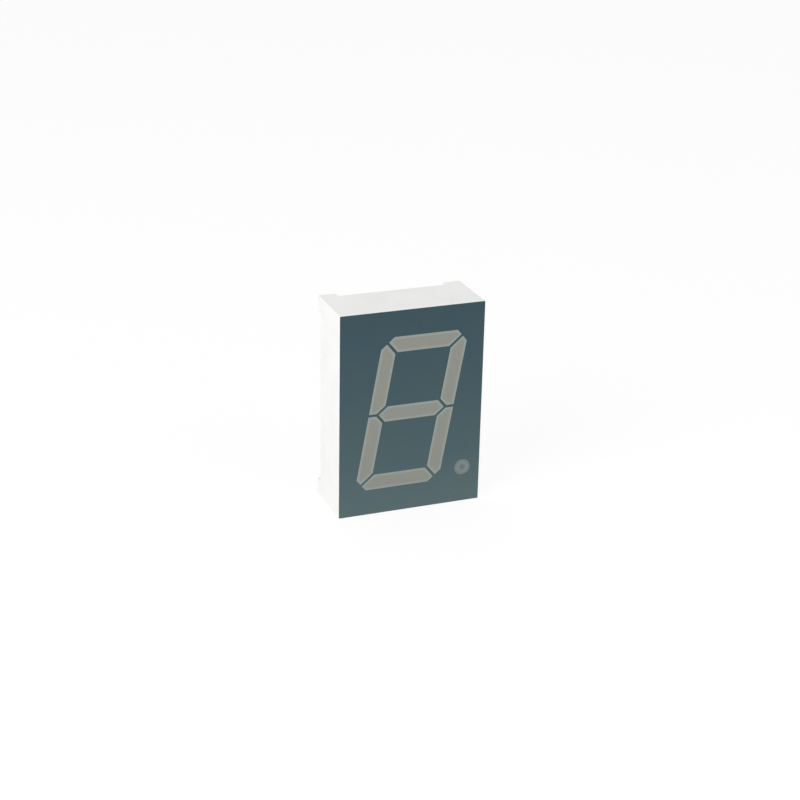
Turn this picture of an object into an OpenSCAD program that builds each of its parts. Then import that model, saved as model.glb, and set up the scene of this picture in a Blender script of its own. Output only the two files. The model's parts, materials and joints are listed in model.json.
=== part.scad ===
// Single digit seven segment display with a decimal point, for mounting on a circuit board.
// It stands upright on its bottom wall: X runs to the right, Y from the face to the back, Z up.
// The origin is the centre of the bottom wall.

/* [Housing] */
// Distance from the foot and the top of the digit to the housing's edges
end_margin = 4.3; // [3.8:0.1:7]
// Distance from the sides of the digit to the housing's edges
side_margin = 4.85; // [4.4:0.05:7]
// Depth from the face to the tips of the standoff feet
body_d = 10.5; // [9:0.25:14]
// Thickness of the skirt walls
wall_t = 1.1; // [0.8:0.1:1.4]
// Thickness of the front plate
plate_t = 1; // [0.8:0.1:1.6]
// Radius of the four long outer edges
edge_r = 0.15; // [0.1:0.05:0.8]
// Radius of the four corners inside the skirt
inner_r = 0.5; // [0.3:0.1:0.8]
// Height of the standoff feet above the rear rim
foot_h = 1.2; // [0.6:0.1:1.6]
// Length of a foot along the top and bottom walls
foot_w = 3; // [2:0.25:7]
// Length of a foot along the side walls
foot_l = 2.6; // [2:0.1:7]

/* [Digit] */
// Height of the digit over its upper and lower segments
digit_h = 25.4; // [22:0.2:30]
// Width of the digit, square to its height
digit_w = 14.3; // [12:0.1:18]
// Width of the six outer segments
stroke = 2.55; // [2.3:0.05:2.8]
// Width of the middle segment
mid_stroke = 2.56; // [2.3:0.02:2.8]
// Gap between neighbouring segments
gap = 0.4; // [0.3:0.05:0.6]
// Length cut off each outer corner of the digit, along each side
corner_cut = 1.9; // [1.2:0.1:2.2]
// Distance from the digit's side to the point where the middle mitres meet
tip_in = 1.375; // [1.2:0.025:1.5]
// Lean of the digit to the right, in degrees
slant = 10; // [0:1:12]

/* [Decimal point] */
// Diameter of the decimal point on the face
point_d = 2.75; // [2.2:0.05:3]
// Distance of the decimal point's centre from the housing's right edge
point_in = 3; // [2.8:0.1:3.2]
// Height of the decimal point's centre above the digit's foot
point_up = 1.7; // [1.1:0.1:2.7]

/* [Reflector wells] */
// Depth of the straight lip at the mouth of a well
lip_d = 0.45; // [0.2:0.05:1]
// Distance by which each wall of a well closes in towards the board
well_draft = 0.55; // [0.4:0.05:0.6]
// Thickness of the block's walls outside the wells, at the front plate
block_wall = 0.7; // [0.5:0.05:0.9]

/* [Locating pegs] */
// Diameter of the pegs through the board
peg_d = 1.2; // [0.8:0.1:1.4]
// Diameter of the bosses that the board rests on
boss_d = 2.4; // [2:0.1:2.6]
// Diameter of the staked heads behind the board
head_d = 1.8; // [1.6:0.1:2]
// Height of the staked heads
head_h = 0.4; // [0.3:0.05:0.6]
// Distance of the two side pegs from the side walls
side_peg_in = 2.1; // [1.8:0.1:2.4]
// Distance of the left side peg below the digit's top
left_peg_down = 2.7; // [1.7:0.1:4.7]
// Height of the right side peg above the digit's foot
right_peg_up = 7.2; // [6.7:0.1:8.2]
// Clearance round a peg in the board
peg_gap = 0.05; // [0.02:0.01:0.1]

/* [Printed face] */
// Thickness of the print
ink_t = 0.05; // [0.03:0.01:0.1]
// White margin round the print
ink_margin = 0.03; // [0.01:0.01:0.3]

/* [Board] */
// Depth from the front of the board to the tips of the standoff feet
back_room = 4.1; // [3.7:0.1:5]
// Thickness of the board
board_t = 1; // [0.8:0.1:1.2]
// Clearance between the board and the walls
board_gap = 0.15; // [0.1:0.05:0.3]
// Thickness of the copper
copper_t = 0.035; // [0.03:0.005:0.07]
// Width of the tracks
track_w = 0.6; // [0.3:0.05:0.7]
// Width of the tracks that carry the common current
common_w = 0.9; // [0.5:0.05:1]
// Width of the pads under the dies
pad_w = 0.8; // [0.5:0.05:0.9]
// Gap between neighbouring pads
pad_gap = 0.2; // [0.1:0.05:0.3]
// Reach of a pad past the die or via on it
pad_reach = 0.3; // [0.25:0.01:0.35]
// Distance between the track along the left side and the via beside it
lane_gap = 1.15; // [1.1:0.05:1.3]
// Half the length of the straight track beside the right side peg
lane_l = 1.4; // [1.2:0.1:1.6]
// Diameter of the plated vias
via_d = 0.25; // [0.2:0.05:0.3]
// Diameter of the pads round the pins
pin_pad_d = 1.8; // [1.6:0.1:1.9]

/* [Light sources] */
// Side of a light emitting die
die_w = 0.3; // [0.25:0.01:0.35]
// Height of a die
die_h = 0.2; // [0.15:0.01:0.25]
// Distance of a segment's two vias from its ends
via_in = 2.2; // [2:0.05:2.5]
// Place of a segment's two dies, as a share of the way from its middle to its vias
die_share = 0.58; // [0.52:0.01:0.62]
// Distance of the decimal point's two vias from its centre
point_via_at = 0.55; // [0.5:0.01:0.6]
// Length of the decimal point's pads past its centre
point_pad_l = 0.7; // [0.68:0.01:0.75]
// Distance between the two bonds of a wire
wire_span = 0.7; // [0.65:0.01:0.74]
// Diameter of a bond wire
wire_d = 0.03; // [0.02:0.005:0.05]
// Diameter of the ball on the die
ball_d = 0.08; // [0.06:0.01:0.1]
// Rise of the wire's control points in front of the die
wire_rise = 0.4; // [0.2:0.05:0.6]

/* [Pins] */
// Diameter of the pins
pin_d = 0.5; // [0.4:0.05:0.55]
// Diameter of their front ends, from which their roots taper back to the potting's surface
pin_root_d = 0.7; // [0.62:0.02:0.8]
// Distance between neighbouring pins of a row
pin_pitch = 2.54; // [2.5:0.02:2.56]
// Distance of the two rows of pins from the foot and the top of the digit
row_out = 1.27; // [1.25:0.01:1.5]
// Length of the pins behind the standoff feet
pin_out = 5; // [3:0.5:8]
// Length of the pins in front of the board
pin_stub = 0.4; // [0.2:0.1:0.8]
// Length of the tapered tips
pin_tip = 0.3; // [0.1:0.1:0.6]
// Clearance round a pin's front end in the board
pin_gap = 0.05; // [0.02:0.01:0.1]
// Width and height of the solder round a pin
solder_r = 0.55; // [0.4:0.05:0.6]
// Thickness of the solder at its thin edges
solder_edge = 0.04; // [0.02:0.01:0.08]

/* [Potting] */
// Distance of the potting's edge in front of the rear rim
pot_recess = 0.3; // [0.1:0.05:0.5]
// Depth of the hollow in the back of the potting
dish_d = 0.25; // [0.1:0.05:0.4]
// Width of the slope round that hollow
dish_w = 1.6; // [0.8:0.1:2.5]
// Width of the flat edge of the potting
dish_lip = 0.2; // [0.2:0.05:0.4]

/* [Hidden] */
$fn = 64;
WIRE_SIDES = 6;
// Stations along a bond wire, from the ball on its die to the pad, and the end of the ball
WIRE_STATIONS = [0, 0.04, 0.07, 0.16, 0.3, 0.45, 0.6, 0.75, 0.88, 1];
BALL_END = 0.05;
// How far a track runs on past its ends, as a share of its width
TRACK_REACH = 0.4;
PINS_PER_ROW = 5;

// Housing, rows of pins and depth of the wells
body_w = digit_w + 2 * side_margin;
body_h = digit_h + 2 * end_margin;
row_pitch = digit_h + 2 * row_out;
well_d = body_d - back_room;

// Depths behind the face
plate_back = ink_t + plate_t;
board_back = well_d + board_t;
copper_front = well_d - copper_t;
copper_back = board_back + copper_t;
rim_back = body_d - foot_h;
pot_back = rim_back - pot_recess;
// Mean radius of a pin's root
root_r = (pin_d + pin_root_d) / 4;
// Depth inside the front plate from which the block and the bosses rise
root = ink_t + plate_t / 2;
// Closing in of a well's walls for each millimetre of depth
well_slope = well_draft / (well_d - lip_d);
// How far a cut runs on past the surface that it opens
over = 0.3;

// Space inside the skirt walls
inner_w = body_w - 2 * wall_t;
inner_h = body_h - 2 * wall_t;

// Half sizes of the digit, and the setback of a mitre measured along an axis
half_w = digit_w / 2;
half_h = digit_h / 2;
half_gap = gap / 2;
setback = gap / sqrt(2);
tip_x = half_w - tip_in;
// Half lengths of the three kinds of segment on their centre lines
top_reach = half_w - stroke / 2 - setback;
side_reach = (half_h - stroke / 2 - setback - half_gap) / 2;
middle_reach = tip_x - setback;

function unit(v) = v / norm(v);

// Leans an upright point of the digit to the right
function lean(p) = [p.x + p.y * tan(slant), p.y];

// A point of the face at a depth behind it, in the part's frame
function at(p, depth) = [p.x, depth - body_d / 2, body_h / 2 + p.y];

// Moves each side of a convex outline inwards by d, or outwards where d is negative
function inset(outline, d) = [
    for (i = [0 : len(outline) - 1])
        let (
            p = outline[i],
            before = unit(p - outline[(i + len(outline) - 1) % len(outline)]),
            after = unit(outline[(i + 1) % len(outline)] - p)
        )
        p + d * (after - before) / cross(before, after)
];

// Mirrors an outline about the digit's axes and keeps it counter-clockwise
function mirrored(outline, sx, sy) = [
    for (i = [0 : len(outline) - 1])
        let (p = outline[sx * sy > 0 ? i : len(outline) - 1 - i])
        [p.x * sx, p.y * sy]
];

function rectangle(w, h) = [[-w, -h] / 2, [w, -h] / 2, [w, h] / 2, [-w, h] / 2];

// The three kinds of segment, upright and counter-clockwise
top_outline = [
    [-(half_w - stroke - setback), half_h - stroke],
    [half_w - stroke - setback, half_h - stroke],
    [half_w - (corner_cut + setback) / 2, half_h - (corner_cut - setback) / 2],
    [half_w - corner_cut, half_h],
    [-(half_w - corner_cut), half_h],
    [-(half_w - (corner_cut + setback) / 2), half_h - (corner_cut - setback) / 2]
];
side_outline = [
    [tip_x + setback - half_gap, half_gap],
    [half_w, half_gap],
    [half_w, half_h - corner_cut],
    [half_w - (corner_cut - setback) / 2, half_h - (corner_cut + setback) / 2],
    [half_w - stroke, half_h - stroke - setback],
    [half_w - stroke, tip_x + setback - half_w + stroke]
];
middle_outline = [
    [-(tip_x - setback), 0],
    [-(tip_x - setback - mid_stroke / 2), -mid_stroke / 2],
    [tip_x - setback - mid_stroke / 2, -mid_stroke / 2],
    [tip_x - setback, 0],
    [tip_x - setback - mid_stroke / 2, mid_stroke / 2],
    [-(tip_x - setback - mid_stroke / 2), mid_stroke / 2]
];
top_middle = [0, half_h - stroke / 2];
side_middle = [half_w - stroke / 2, half_gap + side_reach];

// Each segment: its letter, its kind of outline, its mirror signs, its middle,
// the way from its common via to its own via, and its half length
SEGMENTS = [
    ["a", top_outline, 1, 1, top_middle, [1, 0], top_reach],
    ["b", side_outline, 1, 1, side_middle, [0, 1], side_reach],
    ["c", side_outline, 1, -1, side_middle, [0, -1], side_reach],
    ["d", top_outline, 1, -1, top_middle, [-1, 0], top_reach],
    ["e", side_outline, -1, -1, side_middle, [0, -1], side_reach],
    ["f", side_outline, -1, 1, side_middle, [0, 1], side_reach],
    ["g", middle_outline, 1, 1, [0, 0], [-1, 0], middle_reach]
];
LAST = len(SEGMENTS) - 1;
POINT = LAST + 1;

// The outline of a segment on the face
function outline(k) = [
    for (p = mirrored(SEGMENTS[k][1], SEGMENTS[k][2], SEGMENTS[k][3])) lean(p)
];

// The middle of a segment's well or of the decimal point, and the way along it
function middle(k) =
    k == POINT
        ? [body_w / 2 - point_in, point_up - half_h]
        : lean([SEGMENTS[k][4].x * SEGMENTS[k][2], SEGMENTS[k][4].y * SEGMENTS[k][3]]);
function way(k) = k == POINT ? [-1, 0] : unit(lean(SEGMENTS[k][5]));
function along(k, t) = middle(k) + t * way(k);
function letter(k) = k == POINT ? "dp" : SEGMENTS[k][0];

// Distances of the vias and the dies from the middle of a segment's well
function via_at(k) = SEGMENTS[k][6] - via_in;
function die_at(k) = via_at(k) * die_share;

// The two vias of a well, the one of its own pin and the common one
function own_via(k) = along(k, k == POINT ? point_via_at : via_at(k));
function common_via(k) = along(k, k == POINT ? -point_via_at : -via_at(k));

// Copper pads of a well: where each starts and ends along the well
function pads(k) =
    k == POINT
        ? [[pad_gap / 2, point_pad_l], [-point_pad_l, -pad_gap / 2]]
        : [
            [die_at(k) - pad_reach, via_at(k) + pad_reach],
            [-die_at(k) - pad_reach, die_at(k) - pad_reach - pad_gap],
            [-via_at(k) - pad_reach, -die_at(k) - pad_reach - pad_gap]
        ];

// Dies: the name's ending, the well that it lies in and its place along the well
DIES = [
    for (k = [0 : LAST], n = [1, 2]) [str(letter(k), n), k, n == 1 ? die_at(k) : -die_at(k)],
    ["dp", POINT, wire_span / 2]
];

// Pins from 1 at the lower left to 5, then from 6 at the upper right back to the left
function pin_place(n) =
    let (
        upper = n > PINS_PER_ROW,
        step = upper ? 2 * PINS_PER_ROW - n : n - 1
    )
    [(step - (PINS_PER_ROW - 1) / 2) * pin_pitch, (upper ? 1 : -1) * row_pitch / 2];
PINS = [1 : 2 * PINS_PER_ROW];

// Places of the locating pegs: two beside the digit and two inside its loops
side_peg_x = inner_w / 2 - side_peg_in;
loop_middle = lean([0, (half_h - stroke + mid_stroke / 2) / 2]);
right_peg = [side_peg_x, right_peg_up - half_h];
PEGS = [
    [-side_peg_x, half_h - left_peg_down],
    right_peg,
    loop_middle,
    -loop_middle
];

// Routes of the tracks on the back of the board, with their bends
bend = [half_w, half_h - track_w];
left_lane_x = common_via(5).x - lane_gap;
right_lane_x = side_peg_x - head_d / 2 - pad_gap - common_w / 2;
bus_y = common_via(1).y;
OWN_TRACKS = [
    [pin_place(7), own_via(0)],
    [pin_place(6), bend, own_via(1)],
    [pin_place(4), own_via(2)],
    [pin_place(2), own_via(3)],
    [pin_place(1), -bend, own_via(4)],
    [pin_place(9), own_via(5)],
    [
        pin_place(10),
        [left_lane_x, bend.y],
        [left_lane_x, lane_gap],
        [left_lane_x + lane_gap, 0],
        own_via(6)
    ],
    [pin_place(5), own_via(POINT)]
];
COMMON_TRACKS = [
    [pin_place(8), common_via(0), [common_via(0).x, bus_y]],
    [pin_place(3), common_via(3), [common_via(3).x, -bus_y]],
    [common_via(5), common_via(1)],
    [common_via(4), common_via(2)],
    [[0, bus_y], [0, -bus_y]],
    [common_via(6), [common_via(6).x, bus_y]],
    [
        common_via(2),
        [right_lane_x, right_peg.y + lane_l],
        [right_lane_x, right_peg.y - lane_l],
        common_via(POINT)
    ]
];

// Stands a shape drawn on the face upright and extrudes it between two depths
module slab(front, back) {
    translate([0, back - body_d / 2, body_h / 2])
        rotate([90, 0, 0])
            linear_extrude(back - front) children();
}

// A round rod between two depths; r2 is its radius at the back
module rod(place, front, back, r, r2 = undef) {
    translate(at(place, front))
        rotate([-90, 0, 0])
            cylinder(h = back - front, r1 = r, r2 = is_undef(r2) ? r : r2);
}

// Rectangle with round corners
module rounded(w, h, r) {
    square([w - 2 * r, h], center = true);
    square([w, h - 2 * r], center = true);
    for (sx = [-1, 1], sy = [-1, 1])
        translate([sx * (w / 2 - r), sy * (h / 2 - r)]) circle(r);
}

// Closed skin of triangles over rings of points, from the first ring to the last
module skin(rings) {
    n = len(rings[0]);
    last = len(rings) - 1;
    polyhedron(
        points = [for (ring = rings) each ring],
        faces = [
            [for (j = [n - 1 : -1 : 0]) j],
            for (i = [0 : last - 1], j = [0 : n - 1])
                let (a = i * n + j, b = i * n + (j + 1) % n)
                each [[a, b, b + n], [a, b + n, a + n]],
            [for (j = [0 : n - 1]) last * n + j]
        ]
    );
}

// Tapered block between outlines of the face; each stage is a depth and an outline
module loft(stages) {
    skin([for (stage = stages) [for (p = stage[1]) at(p, stage[0])]]);
}

// The space of a segment's well: a straight lip, then walls that close in to the board;
// past is how far it runs on beyond the board
module well(k, past = 0) {
    loft([
        [0, outline(k)],
        [lip_d, outline(k)],
        [well_d + past, inset(outline(k), well_slope * (well_d + past - lip_d))]
    ]);
}

// The space of the decimal point's well
module point_well(past = 0) {
    rod(middle(POINT), 0, lip_d, point_d / 2);
    rod(
        middle(POINT),
        lip_d,
        well_d + past,
        point_d / 2,
        point_d / 2 - well_slope * (well_d + past - lip_d)
    );
}

// The moulded walls round the wells
module well_block() {
    slab(root, well_d) {
        for (k = [0 : LAST]) polygon(inset(outline(k), -block_wall));
        translate(middle(POINT)) circle(point_d / 2 + block_wall);
    }
}

// Bosses that carry the board, pegs through it and their staked heads
module pegs() {
    for (place = PEGS) {
        rod(place, root, well_d, boss_d / 2);
        rod(place, well_d, board_back, peg_d / 2);
        staked_head(place);
    }
}

// Head of a peg, flattened behind the board
module staked_head(place) {
    rod(place, board_back, board_back + head_h, head_d / 2, peg_d / 2);
}

// White reflector housing, moulded in one piece
module housing() {
    color("white")
    difference() {
        union() {
            difference() {
                slab(ink_t, body_d) rounded(body_w, body_h, edge_r);
                slab(plate_back, body_d + over) rounded(inner_w, inner_h, inner_r);
                slab(rim_back, body_d + over) {
                    square([body_w - 2 * foot_w, body_h + over], center = true);
                    square([body_w + over, body_h - 2 * foot_l], center = true);
                }
            }
            well_block();
            pegs();
        }
        for (k = [0 : LAST]) well(k, over);
        point_well(over);
    }
}

// Dark coat on the front plate, open over the wells
module face_print() {
    color("#4b5d63")
    slab(0, ink_t)
        difference() {
            rounded(body_w - 2 * ink_margin, body_h - 2 * ink_margin, edge_r);
            for (k = [0 : LAST]) polygon(outline(k));
            translate(middle(POINT)) circle(point_d / 2);
        }
}

// Everything inside a well that the cast material flows round
module well_contents(k) {
    front_pads(k);
    for (i = [0 : len(DIES) - 1])
        if (DIES[i][1] == k) {
            die(i);
            wire(i);
        }
}

// Milky material cast in a segment's well
module segment(k) {
    color("#91958f")
    difference() {
        well(k);
        well_contents(k);
    }
}

// Milky material cast in the decimal point's well
module decimal_point() {
    color("#7a8585")
    difference() {
        point_well();
        well_contents(POINT);
    }
}

// A hole through the board
module hole(place, r) {
    rod(place, well_d - over, board_back + over, r);
}

// Board with holes for the pegs, pins and vias
module circuit_board() {
    color("#dfe5dc")
    difference() {
        slab(well_d, board_back)
            rounded(inner_w - 2 * board_gap, inner_h - 2 * board_gap, inner_r);
        for (place = PEGS) hole(place, peg_d / 2 + peg_gap);
        for (n = PINS) hole(pin_place(n), pin_root_d / 2 + pin_gap);
        for (k = [0 : POINT], place = [own_via(k), common_via(k)]) hole(place, via_d / 2);
    }
}

// Pads on the front of the board inside a well
module front_pads(k) {
    color("#b87333")
    slab(copper_front, well_d)
        for (pad = pads(k))
            translate(along(k, (pad[0] + pad[1]) / 2))
                rotate(atan2(way(k).y, way(k).x))
                    square([pad[1] - pad[0], pad_w], center = true);
}

// A track through its points, mitred at its bends and reaching a little past its ends
module track(points, w) {
    last = len(points) - 1;
    steps = [for (i = [1 : last]) unit(points[i] - points[i - 1])];
    reach = w * TRACK_REACH;
    route = [
        points[0] - reach * steps[0],
        for (i = [1 : 1 : last - 1]) points[i],
        points[last] + reach * steps[last - 1]
    ];
    mitres = [
        for (i = [0 : last])
            let (
                before = steps[max(i - 1, 0)],
                after = steps[min(i, last - 1)],
                across = [-before.y - after.y, before.x + after.x]
            )
            across / (1 + before * after)
    ];
    polygon([
        for (i = [0 : last]) route[i] - mitres[i] * w / 2,
        for (i = [last : -1 : 0]) route[i] + mitres[i] * w / 2
    ]);
}

// Tracks and pin pads on the back of the board, kept clear of the staked heads
module back_tracks() {
    color("#b87333")
    difference() {
        slab(board_back, copper_back)
            difference() {
                union() {
                    for (route = OWN_TRACKS) track(route, track_w);
                    for (route = COMMON_TRACKS) track(route, common_w);
                    for (n = PINS) translate(pin_place(n)) circle(pin_pad_d / 2);
                }
                for (place = PEGS) translate(place) circle(head_d / 2 + peg_gap);
            }
        for (n = PINS) pin_root(n);
    }
}

// Copper of the board: pads in front, tracks behind and plated vias between them
module copper() {
    color("#b87333") {
        for (k = [0 : POINT]) {
            front_pads(k);
            rod(own_via(k), copper_front, copper_back, via_d / 2);
            rod(common_via(k), copper_front, copper_back, via_d / 2);
        }
        back_tracks();
    }
}

// Light emitting die on its pad
module die(i) {
    k = DIES[i][1];
    color("#c9b458")
    slab(copper_front - die_h, copper_front)
        translate(along(k, DIES[i][2]))
            rotate(atan2(way(k).y, way(k).x))
                square(die_w, center = true);
}

// Bond wire from the top of a die to the next pad, on a cubic curve
module wire(i) {
    k = DIES[i][1];
    start = at(along(k, DIES[i][2]), copper_front - die_h);
    end = at(along(k, DIES[i][2] - wire_span), copper_front);
    lift_start = start - [0, wire_rise, 0];
    lift_end = [end.x, lift_start.y, end.z];
    across = [-way(k).y, 0, way(k).x];
    color("gold")
    skin([
        for (t = WIRE_STATIONS)
            let (
                u = 1 - t,
                place = u ^ 3 * start + 3 * u ^ 2 * t * lift_start
                    + 3 * u * t ^ 2 * lift_end + t ^ 3 * end,
                ahead = unit(
                    u ^ 2 * (lift_start - start) + 2 * u * t * (lift_end - lift_start)
                    + t ^ 2 * (end - lift_end)
                ),
                side = cross(across, ahead),
                r = t < BALL_END ? ball_d / 2 : wire_d / 2
            )
            [
                for (j = [0 : WIRE_SIDES - 1])
                    let (angle = j * 360 / WIRE_SIDES)
                    place + r * (cos(angle) * across + sin(angle) * side)
            ]
    ]);
}

// Root of a pin, tapered so that it wedges in the board
module pin_root(n) {
    rod(pin_place(n), well_d - pin_stub, pot_back, pin_root_d / 2, pin_d / 2);
}

// Round connection pin with its root through the board and a tapered tip
module pin(n) {
    tip = body_d + pin_out;
    color("silver") {
        pin_root(n);
        rod(pin_place(n), pot_back, tip - pin_tip, pin_d / 2);
        rod(pin_place(n), tip - pin_tip, tip, pin_d / 2, pin_d / 4);
    }
}

// Solder round the pins, on their pads behind the board
module solder_joints() {
    reach = root_r + solder_r;
    color("lightgray")
    difference() {
        for (n = PINS)
            translate(at(pin_place(n), copper_back))
                rotate([-90, 0, 0])
                    rotate_extrude()
                        difference() {
                            square([reach, solder_r]);
                            translate([reach, solder_r] + [solder_edge, solder_edge])
                                circle(solder_r);
                        }
        for (n = PINS) pin_root(n);
    }
}

// Casting that closes the back, round the solder, the pins and the staked heads
module potting() {
    color("#d8d4c4")
    difference() {
        slab(board_back, pot_back) rounded(inner_w, inner_h, inner_r);
        loft([
            [
                pot_back - dish_d,
                inset(rectangle(inner_w, inner_h), dish_w)
            ],
            [
                pot_back + dish_d,
                inset(rectangle(inner_w, inner_h), 2 * dish_lip - dish_w)
            ]
        ]);
        back_tracks();
        solder_joints();
        for (n = PINS) pin_root(n);
        for (place = PEGS) staked_head(place);
    }
}

housing();
face_print();
for (k = [0 : LAST])
    segment(k);
decimal_point();
circuit_board();
copper();
for (i = [0 : len(DIES) - 1])
    die(i);
for (i = [0 : len(DIES) - 1])
    wire(i);
for (n = PINS)
    pin(n);
solder_joints();
potting();
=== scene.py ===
import json
import math
import bmesh
import bpy
from mathutils import Matrix, Vector


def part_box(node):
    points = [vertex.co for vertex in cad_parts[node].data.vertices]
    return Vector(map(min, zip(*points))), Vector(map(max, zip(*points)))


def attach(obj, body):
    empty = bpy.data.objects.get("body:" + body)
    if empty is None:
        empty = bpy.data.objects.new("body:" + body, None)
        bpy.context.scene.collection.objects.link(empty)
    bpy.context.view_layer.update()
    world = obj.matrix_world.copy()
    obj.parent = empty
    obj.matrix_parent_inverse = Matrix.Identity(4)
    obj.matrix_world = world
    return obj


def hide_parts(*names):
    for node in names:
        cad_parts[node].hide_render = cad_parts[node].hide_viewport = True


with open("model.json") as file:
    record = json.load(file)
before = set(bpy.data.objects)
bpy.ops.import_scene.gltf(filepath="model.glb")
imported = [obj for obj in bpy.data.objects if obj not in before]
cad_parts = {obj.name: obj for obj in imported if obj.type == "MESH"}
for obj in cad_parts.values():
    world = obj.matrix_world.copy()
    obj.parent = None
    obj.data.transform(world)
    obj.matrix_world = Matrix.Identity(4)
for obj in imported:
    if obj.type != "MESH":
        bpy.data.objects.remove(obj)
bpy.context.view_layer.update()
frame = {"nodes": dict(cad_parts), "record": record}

MM = 0.001
NODES = frame["nodes"]

# The body and the middle of its face, from the frame
BODY_LOW, BODY_HIGH = (Vector(corner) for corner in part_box("housing"))
BODY_MIDDLE = (BODY_LOW + BODY_HIGH) / 2
FACE_MIDDLE = Vector((BODY_MIDDLE.x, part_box("face_print")[0][1], BODY_MIDDLE.z))

# Points of the frame that lie nearer than this to each other are one point
SAME_PLACE = 0.001 * MM
# Angle from which an edge of the moulding or of a casting is sharp
SHARP_ANGLE = math.radians(32)


def add_object(name, data):
    """New object in the scene."""
    thing = bpy.data.objects.new(name, data)
    bpy.context.scene.collection.objects.link(thing)
    return thing


def set_sockets(node, **values):
    """Sets sockets of a node by name, with an underscore for each blank in the name."""
    for name, value in values.items():
        node.inputs[name.replace("_", " ")].default_value = value


def add_node(tree, kind, **values):
    """New node in a tree, with values for some of its sockets."""
    node = tree.nodes.new(kind)
    set_sockets(node, **values)
    return node


# Camera

# Where it stands, seen from the middle of the body: turned aside, raised and rolled, in degrees
CAMERA_TURN = -21.441
CAMERA_ELEVATION = 22.421
CAMERA_ROLL = 1.171
CAMERA_DISTANCE = 271.95 * MM
# Its step to its own right and upwards, which brings the body to its place in the picture
CAMERA_ASIDE = 0.085 * MM
CAMERA_RISE = -0.207 * MM
# Focal length and width of the picture in pixels, and width of the sensor in millimetres
FOCAL_PIXELS = 1702
PICTURE_PIXELS = 800
SENSOR_WIDTH = 36
# Nothing nearer than this is seen
CAMERA_NEAR = 10 * MM


def add_camera():
    """Camera at the photo's viewing angle."""
    turn = math.radians(CAMERA_TURN)
    elevation = math.radians(CAMERA_ELEVATION)
    roll = math.radians(CAMERA_ROLL)
    back = Vector((
        math.sin(turn) * math.cos(elevation),
        -math.cos(turn) * math.cos(elevation),
        math.sin(elevation),
    ))
    level_right = Vector((math.cos(turn), math.sin(turn), 0))
    level_up = back.cross(level_right)
    right = level_right * math.cos(roll) + level_up * math.sin(roll)
    up = level_up * math.cos(roll) - level_right * math.sin(roll)
    place = BODY_MIDDLE + back * CAMERA_DISTANCE + right * CAMERA_ASIDE + up * CAMERA_RISE
    data = bpy.data.cameras.new("camera")
    data.sensor_fit = "HORIZONTAL"
    data.sensor_width = SENSOR_WIDTH
    data.lens = FOCAL_PIXELS / PICTURE_PIXELS * SENSOR_WIDTH
    data.clip_start = CAMERA_NEAR
    camera = add_object("camera", data)
    axes = Matrix((right, up, back)).transposed()
    camera.matrix_world = Matrix.Translation(place) @ axes.to_4x4()
    bpy.context.scene.camera = camera


# Materials

# A noise swings about this middle, and nearly all of it lies within the swing
NOISE_MIDDLE = 0.5
NOISE_SWING = 0.2
# Name of the attribute with the distance from a casting's rim, in millimetres
INWARD = "inward"
# Roughness of a metal's brightest and dullest grain, as shares of its plain roughness
BRIGHT_GRAIN = 0.75
DULL_GRAIN = 1.35


def linear(red, green, blue):
    """Shader colour for sRGB values from 0 to 255."""
    def channel(value):
        value /= 255
        return value / 12.92 if value <= 0.04045 else ((value + 0.055) / 1.055) ** 2.4

    return (channel(red), channel(green), channel(blue), 1)


def tint(red, green, blue):
    """Factors that a colour is multiplied by."""
    return (red, green, blue, 1)


def grey(level):
    """Tint that makes a colour darker or paler."""
    return tint(level, level, level)


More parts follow.
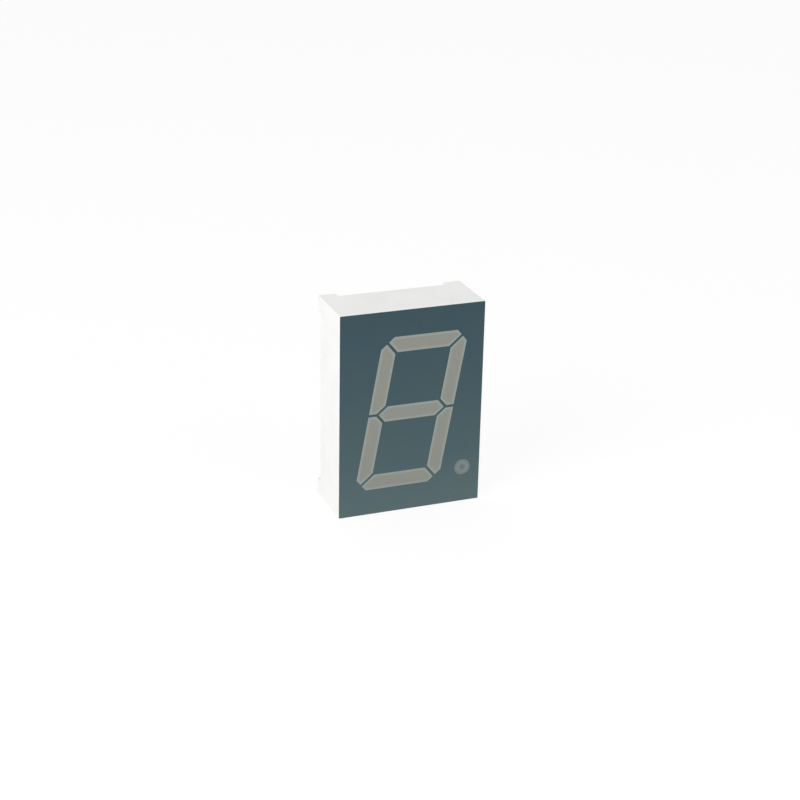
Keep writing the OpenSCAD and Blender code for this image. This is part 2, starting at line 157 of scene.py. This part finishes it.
class Surface:
    """A Principled material with helpers for procedural detail, measured in millimetres."""

    def __init__(self, name, color, roughness, **values):
        self.material = bpy.data.materials.new(name)
        self.material.use_nodes = True
        self.tree = self.material.node_tree
        self.shader = self.tree.nodes["Principled BSDF"]
        set_sockets(self.shader, Base_Color=color, Roughness=roughness, **values)
        metres = add_node(self.tree, "ShaderNodeTexCoord").outputs["Object"]
        self.place = self.scaled(metres, (1 / MM, 1 / MM, 1 / MM))
        self.relief = None

    def link(self, output, node, socket):
        """Links an output to a named socket of a node."""
        self.tree.links.new(output, node.inputs[socket])

    def scaled(self, place, scale):
        """Coordinates multiplied by a scale along each axis."""
        node = add_node(self.tree, "ShaderNodeMapping", Scale=scale)
        self.link(place, node, "Vector")
        return node.outputs["Vector"]

    def noise(self, per_mm, detail=3, roughness=0.5, stretch=None):
        """Noise with a number of features per millimetre, scaled along each axis if asked."""
        node = add_node(
            self.tree, "ShaderNodeTexNoise", Scale=per_mm, Detail=detail, Roughness=roughness
        )
        place = self.scaled(self.place, stretch) if stretch else self.place
        self.link(place, node, "Vector")
        return node.outputs["Fac"]

    def attribute(self, name):
        """Factor that is stored in the mesh."""
        node = add_node(self.tree, "ShaderNodeAttribute")
        node.attribute_name = name
        return node.outputs["Fac"]

    def upward(self, low, high):
        """Factor that rises from 0 to 1 between two heights."""
        split = add_node(self.tree, "ShaderNodeSeparateXYZ")
        self.link(self.place, split, "Vector")
        return self.span(split.outputs["Z"], low / MM, high / MM, 0.0, 1.0)

    def span(self, factor, start, end, low, high):
        """Brings the part of a factor from start to end to the span from low to high."""
        node = add_node(
            self.tree, "ShaderNodeMapRange", From_Min=start, From_Max=end, To_Min=low, To_Max=high
        )
        self.link(factor, node, "Value")
        return node.outputs["Result"]

    def ramp(self, factor, *stops):
        """Colours at positions of a factor."""
        node = add_node(self.tree, "ShaderNodeValToRGB")
        elements = node.color_ramp.elements
        while len(elements) < len(stops):
            elements.new(0.5)
        for element, (position, color) in zip(elements, stops):
            element.position = position
            element.color = color
        self.link(factor, node, "Fac")
        return node.outputs["Color"]

    def shades(self, noise, first, second, swing=NOISE_SWING):
        """Colour that goes from the first to the second as a noise swings about its middle."""
        return self.ramp(noise, (NOISE_MIDDLE - swing, first), (NOISE_MIDDLE + swing, second))

    def tinted(self, color, *tints):
        """A colour multiplied by each of some tints."""
        for factors in tints:
            node = add_node(self.tree, "ShaderNodeMix")
            node.data_type = "RGBA"
            node.blend_type = "MULTIPLY"
            set_sockets(node, Factor=1.0)
            self.link(color, node, "A")
            self.link(factors, node, "B")
            color = node.outputs["Result"]
        return color

    def paint(self, color):
        """Gives the shader a colour that varies."""
        self.link(color, self.shader, "Base Color")

    def vary_roughness(self, noise, low, high):
        """Roughness that goes from low to high as a noise swings about its middle."""
        start = NOISE_MIDDLE - NOISE_SWING
        end = NOISE_MIDDLE + NOISE_SWING
        self.link(self.span(noise, start, end, low, high), self.shader, "Roughness")

    def bump(self, height, depth_mm, strength):
        """Relief of a depth in millimetres, laid over any relief already there."""
        node = add_node(self.tree, "ShaderNodeBump", Distance=depth_mm * MM, Strength=strength)
        self.link(height, node, "Height")
        if self.relief:
            self.link(self.relief, node, "Normal")
        self.relief = node.outputs["Normal"]
        self.link(self.relief, self.shader, "Normal")


def white_plastic():
    """White moulded plastic with a satin grain and slow waves."""
    surface = Surface("white_plastic", linear(239, 240, 238), 0.6, IOR=1.5, Specular_IOR_Level=0.36)
    cloud = surface.noise(0.25, detail=4)
    shade = surface.shades(cloud, linear(236, 237, 235), linear(241, 241, 239))
    surface.paint(shade)
    surface.vary_roughness(surface.noise(1.6, detail=5), 0.54, 0.66)
    surface.bump(surface.noise(14, detail=4, roughness=0.6), depth_mm=0.006, strength=0.5)
    surface.bump(surface.noise(0.35, detail=1), depth_mm=0.02, strength=0.35)
    return surface.material


def dark_print():
    """Dark matt print with faint clouds and a speckle, made paler towards the floor by painted light
    from the floor.
    """
    surface = Surface("dark_print", linear(60, 82, 88), 0.5, IOR=1.45, Specular_IOR_Level=0.32)
    # Painted light from the floor: the print's colour grows paler from the top of the body to its
    # bottom
    shade = surface.ramp(
        surface.upward(BODY_LOW.z, BODY_HIGH.z),
        (0.0, linear(83, 102, 105)),
        (0.25, linear(69, 90, 94)),
        (0.6, linear(57, 80, 87)),
        (1.0, linear(48, 71, 80)),
    )
    cloud = surface.ramp(
        surface.noise(0.16, detail=2),
        (0.32, tint(0.96, 0.99, 1.03)),
        (0.5, tint(1, 1, 1)),
        (0.68, tint(1.05, 1.01, 0.97)),
    )
    speckle = surface.shades(surface.noise(9, roughness=0.65), grey(0.9), grey(1.08))
    surface.paint(surface.tinted(shade, cloud, speckle))
    surface.vary_roughness(surface.noise(3, detail=4), 0.44, 0.6)
    surface.bump(surface.noise(11, roughness=0.6), depth_mm=0.008, strength=0.6)
    return surface.material


def milky_casting(name, *stops):
    """Diffused casting with a colour for each distance from its rim, in millimetres."""
    surface = Surface(
        name,
        stops[0][1],
        0.33,
        IOR=1.52,
        Specular_IOR_Level=0.36,
        Subsurface_Weight=0.25,
        Subsurface_Radius=(1, 0.9, 0.7),
        Subsurface_Scale=0.5 * MM,
    )
    color = surface.ramp(surface.attribute(INWARD), *stops)
    cloud = surface.shades(
        surface.noise(0.9), tint(0.98, 1.0, 1.01), tint(1.05, 1.01, 0.97), swing=0.15
    )
    grain = surface.shades(surface.noise(6, detail=4, roughness=0.7), grey(0.95), grey(1.04))
    surface.paint(surface.tinted(color, cloud, grain))
    surface.vary_roughness(surface.noise(2, detail=4), 0.28, 0.42)
    surface.bump(surface.noise(2.2), depth_mm=0.006, strength=0.5)
    return surface.material


def segment_casting():
    """Casting of the segments, a little warmer and darker inside its rim."""
    return milky_casting(
        "segment_casting",
        (0.0, linear(146, 152, 148)),
        (0.25, linear(144, 150, 145)),
        (0.5, linear(136, 139, 132)),
    )


def point_casting():
    """Casting of the decimal point: a darker rim, a pale ring and a dark middle."""
    return milky_casting(
        "point_casting",
        (0.0, linear(104, 117, 117)),
        (0.25, linear(109, 122, 122)),
        (0.55, linear(118, 131, 131)),
        (0.75, linear(117, 130, 130)),
        (1.0, linear(99, 111, 112)),
    )


def back_casting():
    """Translucent casting through which the board and its solder show."""
    surface = Surface("back_casting", linear(240, 238, 228), 0.16, IOR=1.5, Alpha=0.59)
    cloud = surface.noise(0.35, detail=4)
    shade = surface.shades(cloud, linear(236, 233, 221), linear(243, 242, 234))
    surface.paint(shade)
    surface.vary_roughness(surface.noise(1.2), 0.12, 0.22)
    surface.bump(surface.noise(0.25, detail=1), depth_mm=0.02, strength=0.4)
    return surface.material


def board_laminate():
    """White lacquered laminate with a faint weave."""
    surface = Surface("board_laminate", linear(232, 236, 228), 0.4, IOR=1.5)
    weave = surface.noise(2.5, detail=4)
    shade = surface.shades(weave, linear(226, 231, 220), linear(238, 241, 234), swing=0.15)
    surface.paint(shade)
    surface.bump(surface.noise(5), depth_mm=0.005, strength=0.5)
    return surface.material


def metal(name, dark, light, roughness, grain_per_mm, stretch=None, depth_mm=0.002):
    """Metal whose colour, gloss and relief follow its grain."""
    surface = Surface(name, light, roughness, Metallic=1.0)
    grain = surface.noise(grain_per_mm, detail=4, roughness=0.6, stretch=stretch)
    surface.paint(surface.shades(grain, dark, light))
    surface.vary_roughness(grain, roughness * BRIGHT_GRAIN, roughness * DULL_GRAIN)
    surface.bump(grain, depth_mm, strength=0.6)
    return surface.material


def copper():
    """Copper of the board."""
    return metal("copper", linear(168, 100, 60), linear(204, 134, 88), 0.32, 4)


def solder():
    """Bright solder."""
    return metal("solder", linear(176, 178, 178), linear(208, 209, 208), 0.24, 5)


def tinned_pin():
    """Tinned pin, drawn along its length."""
    dark = linear(186, 186, 182)
    light = linear(214, 213, 208)
    return metal("tinned_pin", dark, light, 0.24, 6, stretch=(1, 0.05, 1), depth_mm=0.0002)


def gold_wire():
    """Drawn gold."""
    return metal("gold_wire", linear(208, 160, 66), linear(240, 198, 98), 0.25, 30)


def die_crystal():
    """Diced crystal of a light emitting die."""
    surface = Surface("die_crystal", linear(190, 160, 70), 0.25, IOR=2.4)
    shade = surface.shades(
        surface.noise(12), linear(176, 148, 62), linear(204, 178, 92), swing=0.1
    )
    surface.paint(shade)
    return surface.material


def dress(node, material):
    """Gives a node of the frame a material."""
    piece = NODES[node]
    if not piece.material_slots:
        piece.data.materials.append(material)
    for slot in piece.material_slots:
        slot.material = material


# Softened edges of the moulding

# Gap up to which corners of the frame's mesh are joined, and angle up to which its facets are one
JOIN_DISTANCE = 0.0002 * MM
FLAT_ANGLE = math.radians(0.5)
# Round of the edges, and the number of facets across it
EDGE_ROUND = 0.14 * MM
ROUND_FACETS = 3
# Share of the round that the edges beside the print get, and how far back from the face that goes
FRONT_SHARE = 0.5
FRONT_DEPTH = 1.0 * MM


def sharp_edges(group):
    """True for the edges at which a mesh turns by more than the sharp angle."""
    angle = add_node(group, "GeometryNodeInputMeshEdgeAngle")
    steep = add_node(group, "FunctionNodeCompare", B=SHARP_ANGLE)
    steep.operation = "GREATER_THAN"
    group.links.new(angle.outputs["Unsigned Angle"], steep.inputs["A"])
    return steep.outputs["Result"]


def round_share(group):
    """Share of the full round that an edge gets by its depth behind the face."""
    place = add_node(group, "GeometryNodeInputPosition")
    split = add_node(group, "ShaderNodeSeparateXYZ")
    share = add_node(group, "ShaderNodeMapRange")
    share.interpolation_type = "STEPPED"
    set_sockets(
        share,
        From_Min=BODY_LOW.y,
        From_Max=BODY_LOW.y + FRONT_DEPTH,
        To_Min=FRONT_SHARE,
        To_Max=1.0,
        Steps=1.0,
    )
    group.links.new(place.outputs["Position"], split.inputs["Vector"])
    group.links.new(split.outputs["Y"], share.inputs["Value"])
    return share.outputs["Result"]


def edge_group():
    """Joins a mesh of the frame along its edges and weights the sharp ones for a bevel."""
    group = bpy.data.node_groups.new("edges", "GeometryNodeTree")
    for direction in ("INPUT", "OUTPUT"):
        group.interface.new_socket("Geometry", in_out=direction, socket_type="NodeSocketGeometry")
    weighted = add_node(group, "GeometryNodeStoreNamedAttribute", Name="bevel_weight_edge")
    weighted.domain = "EDGE"
    chain = [
        add_node(group, "NodeGroupInput"),
        add_node(group, "GeometryNodeRemoveAttribute", Name="custom_normal"),
        add_node(group, "GeometryNodeMergeByDistance", Distance=JOIN_DISTANCE),
        weighted,
        add_node(group, "NodeGroupOutput"),
    ]
    for before, after in zip(chain, chain[1:]):
        group.links.new(before.outputs[0], after.inputs[0])
    group.links.new(sharp_edges(group), weighted.inputs["Selection"])
    group.links.new(round_share(group), weighted.inputs["Value"])
    return group


def soften(node):
    """Small round on every sharp edge of a node of the frame."""
    modifiers = NODES[node].modifiers
    modifiers.new("edges", "NODES").node_group = edge_group()
    flat = modifiers.new("flat", "DECIMATE")
    flat.decimate_type = "DISSOLVE"
    flat.angle_limit = FLAT_ANGLE
    bevel = modifiers.new("soften", "BEVEL")
    bevel.width = EDGE_ROUND
    bevel.segments = ROUND_FACETS
    bevel.limit_method = "WEIGHT"
    bevel.use_clamp_overlap = False
    bevel.harden_normals = True


# Castings


def add_casting(node, bm, material):
    """Object for a casting's finished mesh, smooth apart from its sharp edges."""
    bmesh.ops.recalc_face_normals(bm, faces=bm.faces)
    mesh = bpy.data.meshes.new(node + "_cast")
    bm.to_mesh(mesh)
    bm.free()
    mesh.materials.append(material)
    mesh.shade_smooth()
    mesh.set_sharp_from_angle(angle=SHARP_ANGLE)
    return add_object(mesh.name, mesh)


# Casting in the back

BACK_LOW, BACK_HIGH = (Vector(corner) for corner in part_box("potting"))
BACK_MIDDLE = (BACK_LOW + BACK_HIGH) / 2
BACK_HALF = (BACK_HIGH - BACK_LOW) / 2
# Width over which the casting climbs its walls
CLIMB_WIDTH = 1.6 * MM
# Distance in which the climb along one wall blends with the next
CORNER_BLEND = 0.35 * MM
# How far its front reaches into the board, so that the board's own back shows through it
BACK_SEAT = 0.02 * MM
# Least drop from its rim to its floor, and the depth of the floor of its dished back
FLOOR_DROP = 0.1 * MM
BACK_FLOOR = max(
    vert.co.y for vert in NODES["potting"].data.vertices if vert.co.y < BACK_HIGH.y - FLOOR_DROP
)
# Corner radius of the walls round it
BACK_CORNER = 0.5 * MM
# Where the pins are, across and up, and their radius
PIN_BOXES = [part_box(name) for name in NODES if name.startswith("pin_")]
PIN_PLACES = [((low[0] + high[0]) / 2, (low[2] + high[2]) / 2) for low, high in PIN_BOXES]
PIN_MOUNT = next(mount for mount in frame["record"]["mounts"] if mount["name"] == "pins_outer")
PIN_RADIUS = PIN_MOUNT["dims"]["stud_r_mm"] * MM
# Rise of the casting round each pin, and the distance in which it fades
PIN_RISE = 0.12 * MM
PIN_FADE = 0.16 * MM
# Spacing of the mesh's lines near the walls and the pins, how far that goes, and how fast it
# grows from there to the spacing over the open floor
FINE_STEP = 0.09 * MM
FINE_REACH = 0.75 * MM
STEP_GROWTH = 0.5
OPEN_STEP = 0.8 * MM


def grid_lines(low, high, centres):
    """Positions from low to high, close together at both ends and round each centre."""
    # Pins of one row share a centre
    fine = {low, high} | {round(centre / SAME_PLACE) * SAME_PLACE for centre in centres}
    lines = [low]
    while lines[-1] < high - FINE_STEP / 2:
        near = min(abs(lines[-1] + FINE_STEP / 2 - place) for place in fine)
        growth = max(near - FINE_REACH, 0) * STEP_GROWTH
        lines.append(min(lines[-1] + min(FINE_STEP + growth, OPEN_STEP), high))
    lines[-1] = high
    return lines


def in_corner(x, z):
    """A point of the casting's rectangle, brought inside the round corners of its walls."""
    aside = x - BACK_MIDDLE.x
    above = z - BACK_MIDDLE.z
    out_x = abs(aside) - BACK_HALF.x + BACK_CORNER
    out_z = abs(above) - BACK_HALF.z + BACK_CORNER
    if out_x <= 0 or out_z <= 0:
        return x, z
    pull = max(out_x, out_z) / math.hypot(out_x, out_z) - 1
    return x + math.copysign(out_x * pull, aside), z + math.copysign(out_z * pull, above)


def from_walls(x, z):
    """Distance from the nearest wall, blended where two of them meet."""
    to_x = (BACK_HALF.x - abs(x - BACK_MIDDLE.x)) / CORNER_BLEND
    to_z = (BACK_HALF.z - abs(z - BACK_MIDDLE.z)) / CORNER_BLEND
    return max(-CORNER_BLEND * math.log(math.exp(-to_x) + math.exp(-to_z)), 0.0)


def from_pins(x, z):
    """Distance from the nearest pin."""
    nearest = min(math.hypot(x - pin_x, z - pin_z) for pin_x, pin_z in PIN_PLACES)
    return max(nearest - PIN_RADIUS, 0)


def back_depth(x, z):
    """Depth of the casting's back, which climbs from its floor at the walls and round the pins."""
    share = min(from_walls(x, z) / CLIMB_WIDTH, 1.0)
    dish = BACK_HIGH.y - (BACK_HIGH.y - BACK_FLOOR) * share * share * (3 - 2 * share)
    return dish + PIN_RISE * math.exp(-from_pins(x, z) / PIN_FADE)


def cast_back(material):
    """The casting behind the board: a grid for its back, its sides and its flat front."""
    columns = grid_lines(BACK_LOW.x, BACK_HIGH.x, [x for x, z in PIN_PLACES])
    rows = grid_lines(BACK_LOW.z, BACK_HIGH.z, [z for x, z in PIN_PLACES])
    bm = bmesh.new()
    grid = []
    for row in rows:
        places = [in_corner(column, row) for column in columns]
        grid.append([bm.verts.new((x, back_depth(x, z), z)) for x, z in places])
    for near, far in zip(grid, grid[1:]):
        for i in range(len(columns) - 1):
            bm.faces.new((near[i], near[i + 1], far[i + 1], far[i]))
    # Points of the rim, in order round the casting
    rim = (
        grid[0]
        + [line[-1] for line in grid[1:]]
        + grid[-1][-2::-1]
        + [line[0] for line in grid[-2:0:-1]]
    )
    front = [bm.verts.new((vert.co.x, BACK_LOW.y - BACK_SEAT, vert.co.z)) for vert in rim]
    for i in range(len(rim)):
        bm.faces.new((rim[i - 1], rim[i], front[i], front[i - 1]))
    bm.faces.new(front)
    piece = add_casting("potting", bm, material)
    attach(piece, "root")
    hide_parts("potting")


# Castings in the wells

SEGMENTS = ["segment_" + letter for letter in "abcdefg"]
# Distance from the outline and depth behind the face of each ring of a casting's front, in
# millimetres: its softened rim, and the shallow sink inside the rim
RIM_RINGS = [(0.0, 0.02), (0.02, 0.006), (0.05, 0.0)]
SEGMENT_RINGS = RIM_RINGS + [(0.12, 0.0), (0.3, 0.005), (0.55, 0.013)]
POINT_RINGS = RIM_RINGS + [(0.2, 0.003), (0.5, 0.015), (0.8, 0.03), (1.1, 0.045), (1.3, 0.05)]
# Decimal places of a metre that tell corners apart, and twice the area of a triangle, in square
# metres, up to which its corners lie on one line
CORNER_PLACES = 8
STRAIGHT = 1e-11


def hull_loop(points):
    """Convex outline of points of the face plane, counter-clockwise."""
    points = sorted({(round(x, CORNER_PLACES), round(z, CORNER_PLACES)) for x, z in points})

    def half(row):
        kept = []
        for x, z in row:
            while len(kept) > 1:
                (ax, az), (bx, bz) = kept[-2:]
                if (bx - ax) * (z - az) - (bz - az) * (x - ax) > STRAIGHT:
                    break
                kept.pop()
            kept.append((x, z))
        return kept

    return [Vector(point) for point in half(points)[:-1] + half(points[::-1])[:-1]]


def outline_at(node, depth):
    """Outline of a casting's solid at a depth where it has corners."""
    return hull_loop(
        (vert.co.x, vert.co.z)
        for vert in NODES[node].data.vertices
        if abs(vert.co.y - depth) < SAME_PLACE
    )


def lip_depth(node, corner):
    """Depth at which the straight lip of a well ends: its deepest point behind a corner."""
    return max(
        vert.co.y
        for vert in NODES[node].data.vertices
        if abs(vert.co.x - corner.x) < SAME_PLACE and abs(vert.co.z - corner.y) < SAME_PLACE
    )


def inset(loop, distance):
    """Moves each side of a convex outline inwards."""
    moved = []
    for i, point in enumerate(loop):
        before = (point - loop[i - 1]).normalized()
        after = (loop[(i + 1) % len(loop)] - point).normalized()
        turn = before.x * after.y - before.y * after.x
        moved.append(point + (after - before) * (distance / turn))
    return moved


def cast_piece(node, rings, material):
    """A casting with a softened rim and a slight sink, over its well's tapered sides."""
    low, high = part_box(node)
    front, back = low[1], high[1]
    outline = outline_at(node, front)
    back_corners = outline_at(node, back)
    foot = [min(back_corners, key=lambda corner: (corner - point).length) for point in outline]
    bm = bmesh.new()
    inward = bm.verts.layers.float.new(INWARD)

    def ring(loop, depth, distance=0.0):
        verts = [bm.verts.new((point.x, depth, point.y)) for point in loop]
        for vert in verts:
            vert[inward] = distance
        return verts

    loops = [ring(foot, back), ring(outline, lip_depth(node, outline[0]))]
    for distance, depth in rings:
        loops.append(ring(inset(outline, distance * MM), front + depth * MM, distance))
    for near, far in zip(loops, loops[1:]):
        for i in range(len(outline)):
            bm.faces.new((near[i - 1], near[i], far[i], far[i - 1]))
    bm.faces.new(loops[-1])
    bm.faces.new(loops[0][::-1])
    piece = add_casting(node, bm, material)
    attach(piece, "root")
    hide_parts(node)


# Stage

WHITE = linear(255, 255, 255)
FLOOR_SIZE = 3.0
# Colour of the floor in the light that it throws on the display
FLOOR_COLOR = linear(235, 235, 235)
# In view the floor gives off this share of white, and its grey takes the display's shadow
FLOOR_GLOW = 0.862
FLOOR_SHADE = linear(108, 108, 108)
# Level of the plain light from all round, and what each lamp adds to it where it is aimed
WORLD_LEVEL = 0.64
KEY_LEVEL = 0.56
FILL_LEVEL = 0.15
# Where the lamps stand, and the side of each
KEY_PLACE = (-0.43, -0.26, 0.29)
FILL_PLACE = (0.30, -0.42, 0.26)
LAMP_SIZE = 0.35


def direct_view(tree):
    """1 for rays that show the backdrop: from the camera, in reflections and through clear matter."""
    path = add_node(tree, "ShaderNodeLightPath")
    factor = path.outputs["Is Camera Ray"]
    for ray in ("Is Glossy Ray", "Is Transmission Ray"):
        either = add_node(tree, "ShaderNodeMath")
        either.operation = "MAXIMUM"
        tree.links.new(factor, either.inputs[0])
        tree.links.new(path.outputs[ray], either.inputs[1])
        factor = either.outputs[0]
    return factor


def add_output(tree, kind, light, view):
    """Output node that takes one shader for the light it throws and another for direct view."""
    choice = add_node(tree, "ShaderNodeMixShader")
    tree.links.new(direct_view(tree), choice.inputs[0])
    tree.links.new(light.outputs[0], choice.inputs[1])
    tree.links.new(view.outputs[0], choice.inputs[2])
    tree.links.new(choice.outputs[0], add_node(tree, kind).inputs["Surface"])


def add_floor():
    """Pale floor that is seen as near white, with the display's shadow on it."""
    half = FLOOR_SIZE / 2
    mesh = bpy.data.meshes.new("floor")
    mesh.from_pydata(
        [(-half, -half, 0), (half, -half, 0), (half, half, 0), (-half, half, 0)],
        [],
        [(0, 1, 2, 3)],
    )
    material = bpy.data.materials.new("floor")
    material.use_nodes = True
    mesh.materials.append(material)
    tree = material.node_tree
    tree.nodes.clear()
    pale = add_node(tree, "ShaderNodeBsdfDiffuse", Color=FLOOR_COLOR)
    shade = add_node(tree, "ShaderNodeBsdfDiffuse", Color=FLOOR_SHADE)
    glow = add_node(tree, "ShaderNodeEmission", Color=WHITE, Strength=FLOOR_GLOW)
    seen = add_node(tree, "ShaderNodeAddShader")
    tree.links.new(shade.outputs[0], seen.inputs[0])
    tree.links.new(glow.outputs[0], seen.inputs[1])
    add_output(tree, "ShaderNodeOutputMaterial", pale, seen)
    floor = add_object("floor", mesh)


def add_world():
    """White to the camera and in reflections, a plain soft light to everything else."""
    world = bpy.data.worlds.new("studio")
    bpy.context.scene.world = world
    world.use_nodes = True
    tree = world.node_tree
    tree.nodes.clear()
    light = add_node(tree, "ShaderNodeBackground", Color=WHITE, Strength=WORLD_LEVEL)
    white = add_node(tree, "ShaderNodeBackground", Color=WHITE)
    add_output(tree, "ShaderNodeOutputWorld", light, white)


def add_lamp(name, place, level):
    """Square soft lamp aimed at the face; level is the share of plain light that it adds there."""
    away = Vector(place) - FACE_MIDDLE
    data = bpy.data.lights.new(name, "AREA")
    data.size = LAMP_SIZE
    # Power at which the lamp lights the face as a white world of that level does
    data.energy = level * math.pi ** 2 * away.length ** 2
    lamp = add_object(name, data)
    lamp.location = place
    lamp.rotation_euler = away.to_track_quat("Z", "Y").to_euler()


# Building

add_camera()
add_world()
add_floor()
add_lamp("key", KEY_PLACE, KEY_LEVEL)
add_lamp("fill", FILL_PLACE, FILL_LEVEL)

dress("housing", white_plastic())
soften("housing")
dress("face_print", dark_print())
segment_material = segment_casting()
for segment in SEGMENTS:
    cast_piece(segment, SEGMENT_RINGS, segment_material)
cast_piece("decimal_point", POINT_RINGS, point_casting())
cast_back(back_casting())
dress("circuit_board", board_laminate())
dress("copper", copper())
dress("solder_joints", solder())

# Nodes that come in numbers, by the start of their names
numbered = {"pin_": tinned_pin(), "wire_": gold_wire(), "die_": die_crystal()}
for start, material in numbered.items():
    for name in NODES:
        if name.startswith(start):
            dress(name, material)

bpy.context.scene.view_settings.view_transform = "Standard"
